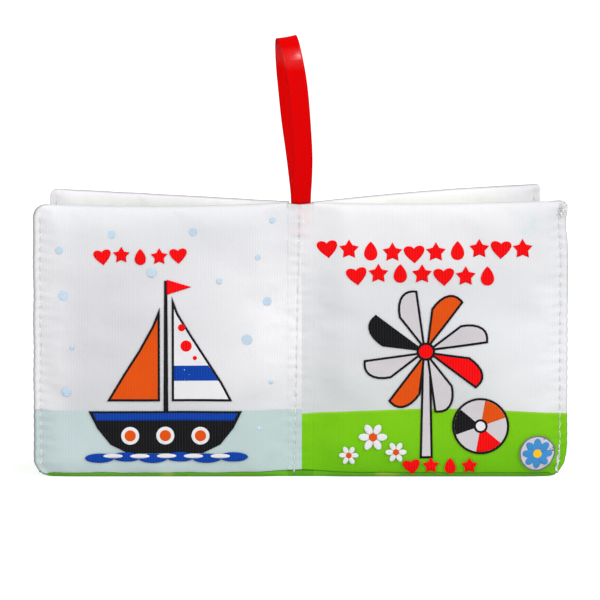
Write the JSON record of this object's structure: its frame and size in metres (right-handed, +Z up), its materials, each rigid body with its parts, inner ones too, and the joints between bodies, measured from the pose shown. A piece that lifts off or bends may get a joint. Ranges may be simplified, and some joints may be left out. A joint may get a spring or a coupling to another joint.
{
  "type": "rattle baby book",
  "caption": "Soft cloth book with padded leaves sewn along one spine, a satin ribbon loop at the top and a rattle capsule hidden in one leaf, standing open on its lower edges.",
  "frame": {"origin": "foot of the spine seam, in the middle of the cover panel's cloth, on the surface that the book stands on", "axes": "+Z up along the spine, +X towards the front cover's free edge, -Y the way both covers face, so the inner leaves lie behind them towards +Y"},
  "size_m": [0.243, 0.0583, 0.2024],
  "materials": {
    "cover_cloth": "white printed polyester cloth with a fine rib, matt",
    "back_cover_cloth": "white to icy blue printed polyester cloth with a fine rib, matt",
    "icy_page_cloth": "pale icy blue printed polyester cloth with a fine rib, matt",
    "green_page_cloth": "white and lime green printed polyester cloth with a fine rib, matt",
    "pad_foam": "soft polyurethane foam sheet, cream",
    "sewing_thread": "white polyester sewing thread",
    "satin_ribbon": "red satin ribbon, glossy along the weave",
    "capsule_plastic": "natural white moulded plastic",
    "bead_plastic": "smooth moulded plastic"
  },
  "bodies": {
    "spine": {"cover_panel_at_spine": "cover_cloth", "page_2_7_panel_at_spine": "green_page_cloth", "page_3_6_panel_at_spine": "icy_page_cloth", "page_4_5_panel_at_spine": "green_page_cloth", "spine_top_thread": "sewing_thread", "spine_bobbin_thread": "sewing_thread", "ribbon_sewn_ends": "satin_ribbon"},
    "inner_left": {"page_5_cloth": "green_page_cloth", "page_6_cloth": "icy_page_cloth", "inner_left_foam": "pad_foam", "inner_left_top_thread": "sewing_thread", "inner_left_bobbin_thread": "sewing_thread"},
    "back_cover": {"back_cover_cloth": "back_cover_cloth", "page_7_cloth": "green_page_cloth", "back_cover_foam": "pad_foam", "back_cover_top_thread": "sewing_thread", "back_cover_bobbin_thread": "sewing_thread"},
    "inner_right": {"page_3_cloth": "icy_page_cloth", "page_4_cloth": "green_page_cloth", "inner_right_foam": "pad_foam", "inner_right_top_thread": "sewing_thread", "inner_right_bobbin_thread": "sewing_thread", "rattle_capsule_base": "capsule_plastic", "rattle_capsule_lid": "capsule_plastic"},
    "front_cover": {"front_cover_cloth": "cover_cloth", "page_2_cloth": "green_page_cloth", "front_cover_foam": "pad_foam", "front_cover_top_thread": "sewing_thread", "front_cover_bobbin_thread": "sewing_thread"},
    "ribbon": {"ribbon_loop": "satin_ribbon"},
    "rattle_bead_1": {"rattle_bead_1": "bead_plastic"},
    "rattle_bead_2": {"rattle_bead_2": "bead_plastic"},
    "rattle_bead_3": {"rattle_bead_3": "bead_plastic"},
    "rattle_bead_4": {"rattle_bead_4": "bead_plastic"},
    "rattle_bead_5": {"rattle_bead_5": "bead_plastic"}
  },
  "joints": [
    {"name": "inner_left_turn", "type": "hinge", "parent": "spine", "child": "inner_left", "pos_m": [-0.00564, 0.00252, 0], "axis": [0, 0, -1], "range_deg": [-19.6, 68.4]},
    {"name": "back_cover_turn", "type": "hinge", "parent": "inner_left", "child": "back_cover", "pos_m": [-0.00594, 0.00032, 0], "axis": [0, 0, -1], "range_deg": [-68.4, 6.1]},
    {"name": "inner_right_turn", "type": "hinge", "parent": "spine", "child": "inner_right", "pos_m": [0.00564, 0.00252, 0], "axis": [0, 0, 1], "range_deg": [-25.7, 62.3]},
    {"name": "front_cover_turn", "type": "hinge", "parent": "inner_right", "child": "front_cover", "pos_m": [0.00594, 0.00032, 0], "axis": [0, 0, 1], "range_deg": [-62.3, 12.2]},
    {"name": "ribbon_flop", "type": "hinge", "parent": "spine", "child": "ribbon", "pos_m": [0, 0.00143, 0.1258], "axis": [1, 0, 0], "range_deg": [-70, 70], "stiffness_Nm_per_rad": 0.001},
    {"name": "rattle_bead_1_rattle", "type": "slide", "parent": "inner_right", "child": "rattle_bead_1", "axis": [0, 0, 1], "range_m": [0, 0.01469]},
    {"name": "rattle_bead_2_rattle", "type": "slide", "parent": "inner_right", "child": "rattle_bead_2", "axis": [0, 0, 1], "range_m": [0, 0.01905]},
    {"name": "rattle_bead_3_rattle", "type": "slide", "parent": "inner_right", "child": "rattle_bead_3", "axis": [0, 0, 1], "range_m": [0, 0.02029]},
    {"name": "rattle_bead_4_rattle", "type": "slide", "parent": "inner_right", "child": "rattle_bead_4", "axis": [0, 0, 1], "range_m": [0, 0.01905]},
    {"name": "rattle_bead_5_rattle", "type": "slide", "parent": "inner_right", "child": "rattle_bead_5", "axis": [0, 0, 1], "range_m": [0, 0.01469]}
  ]
}
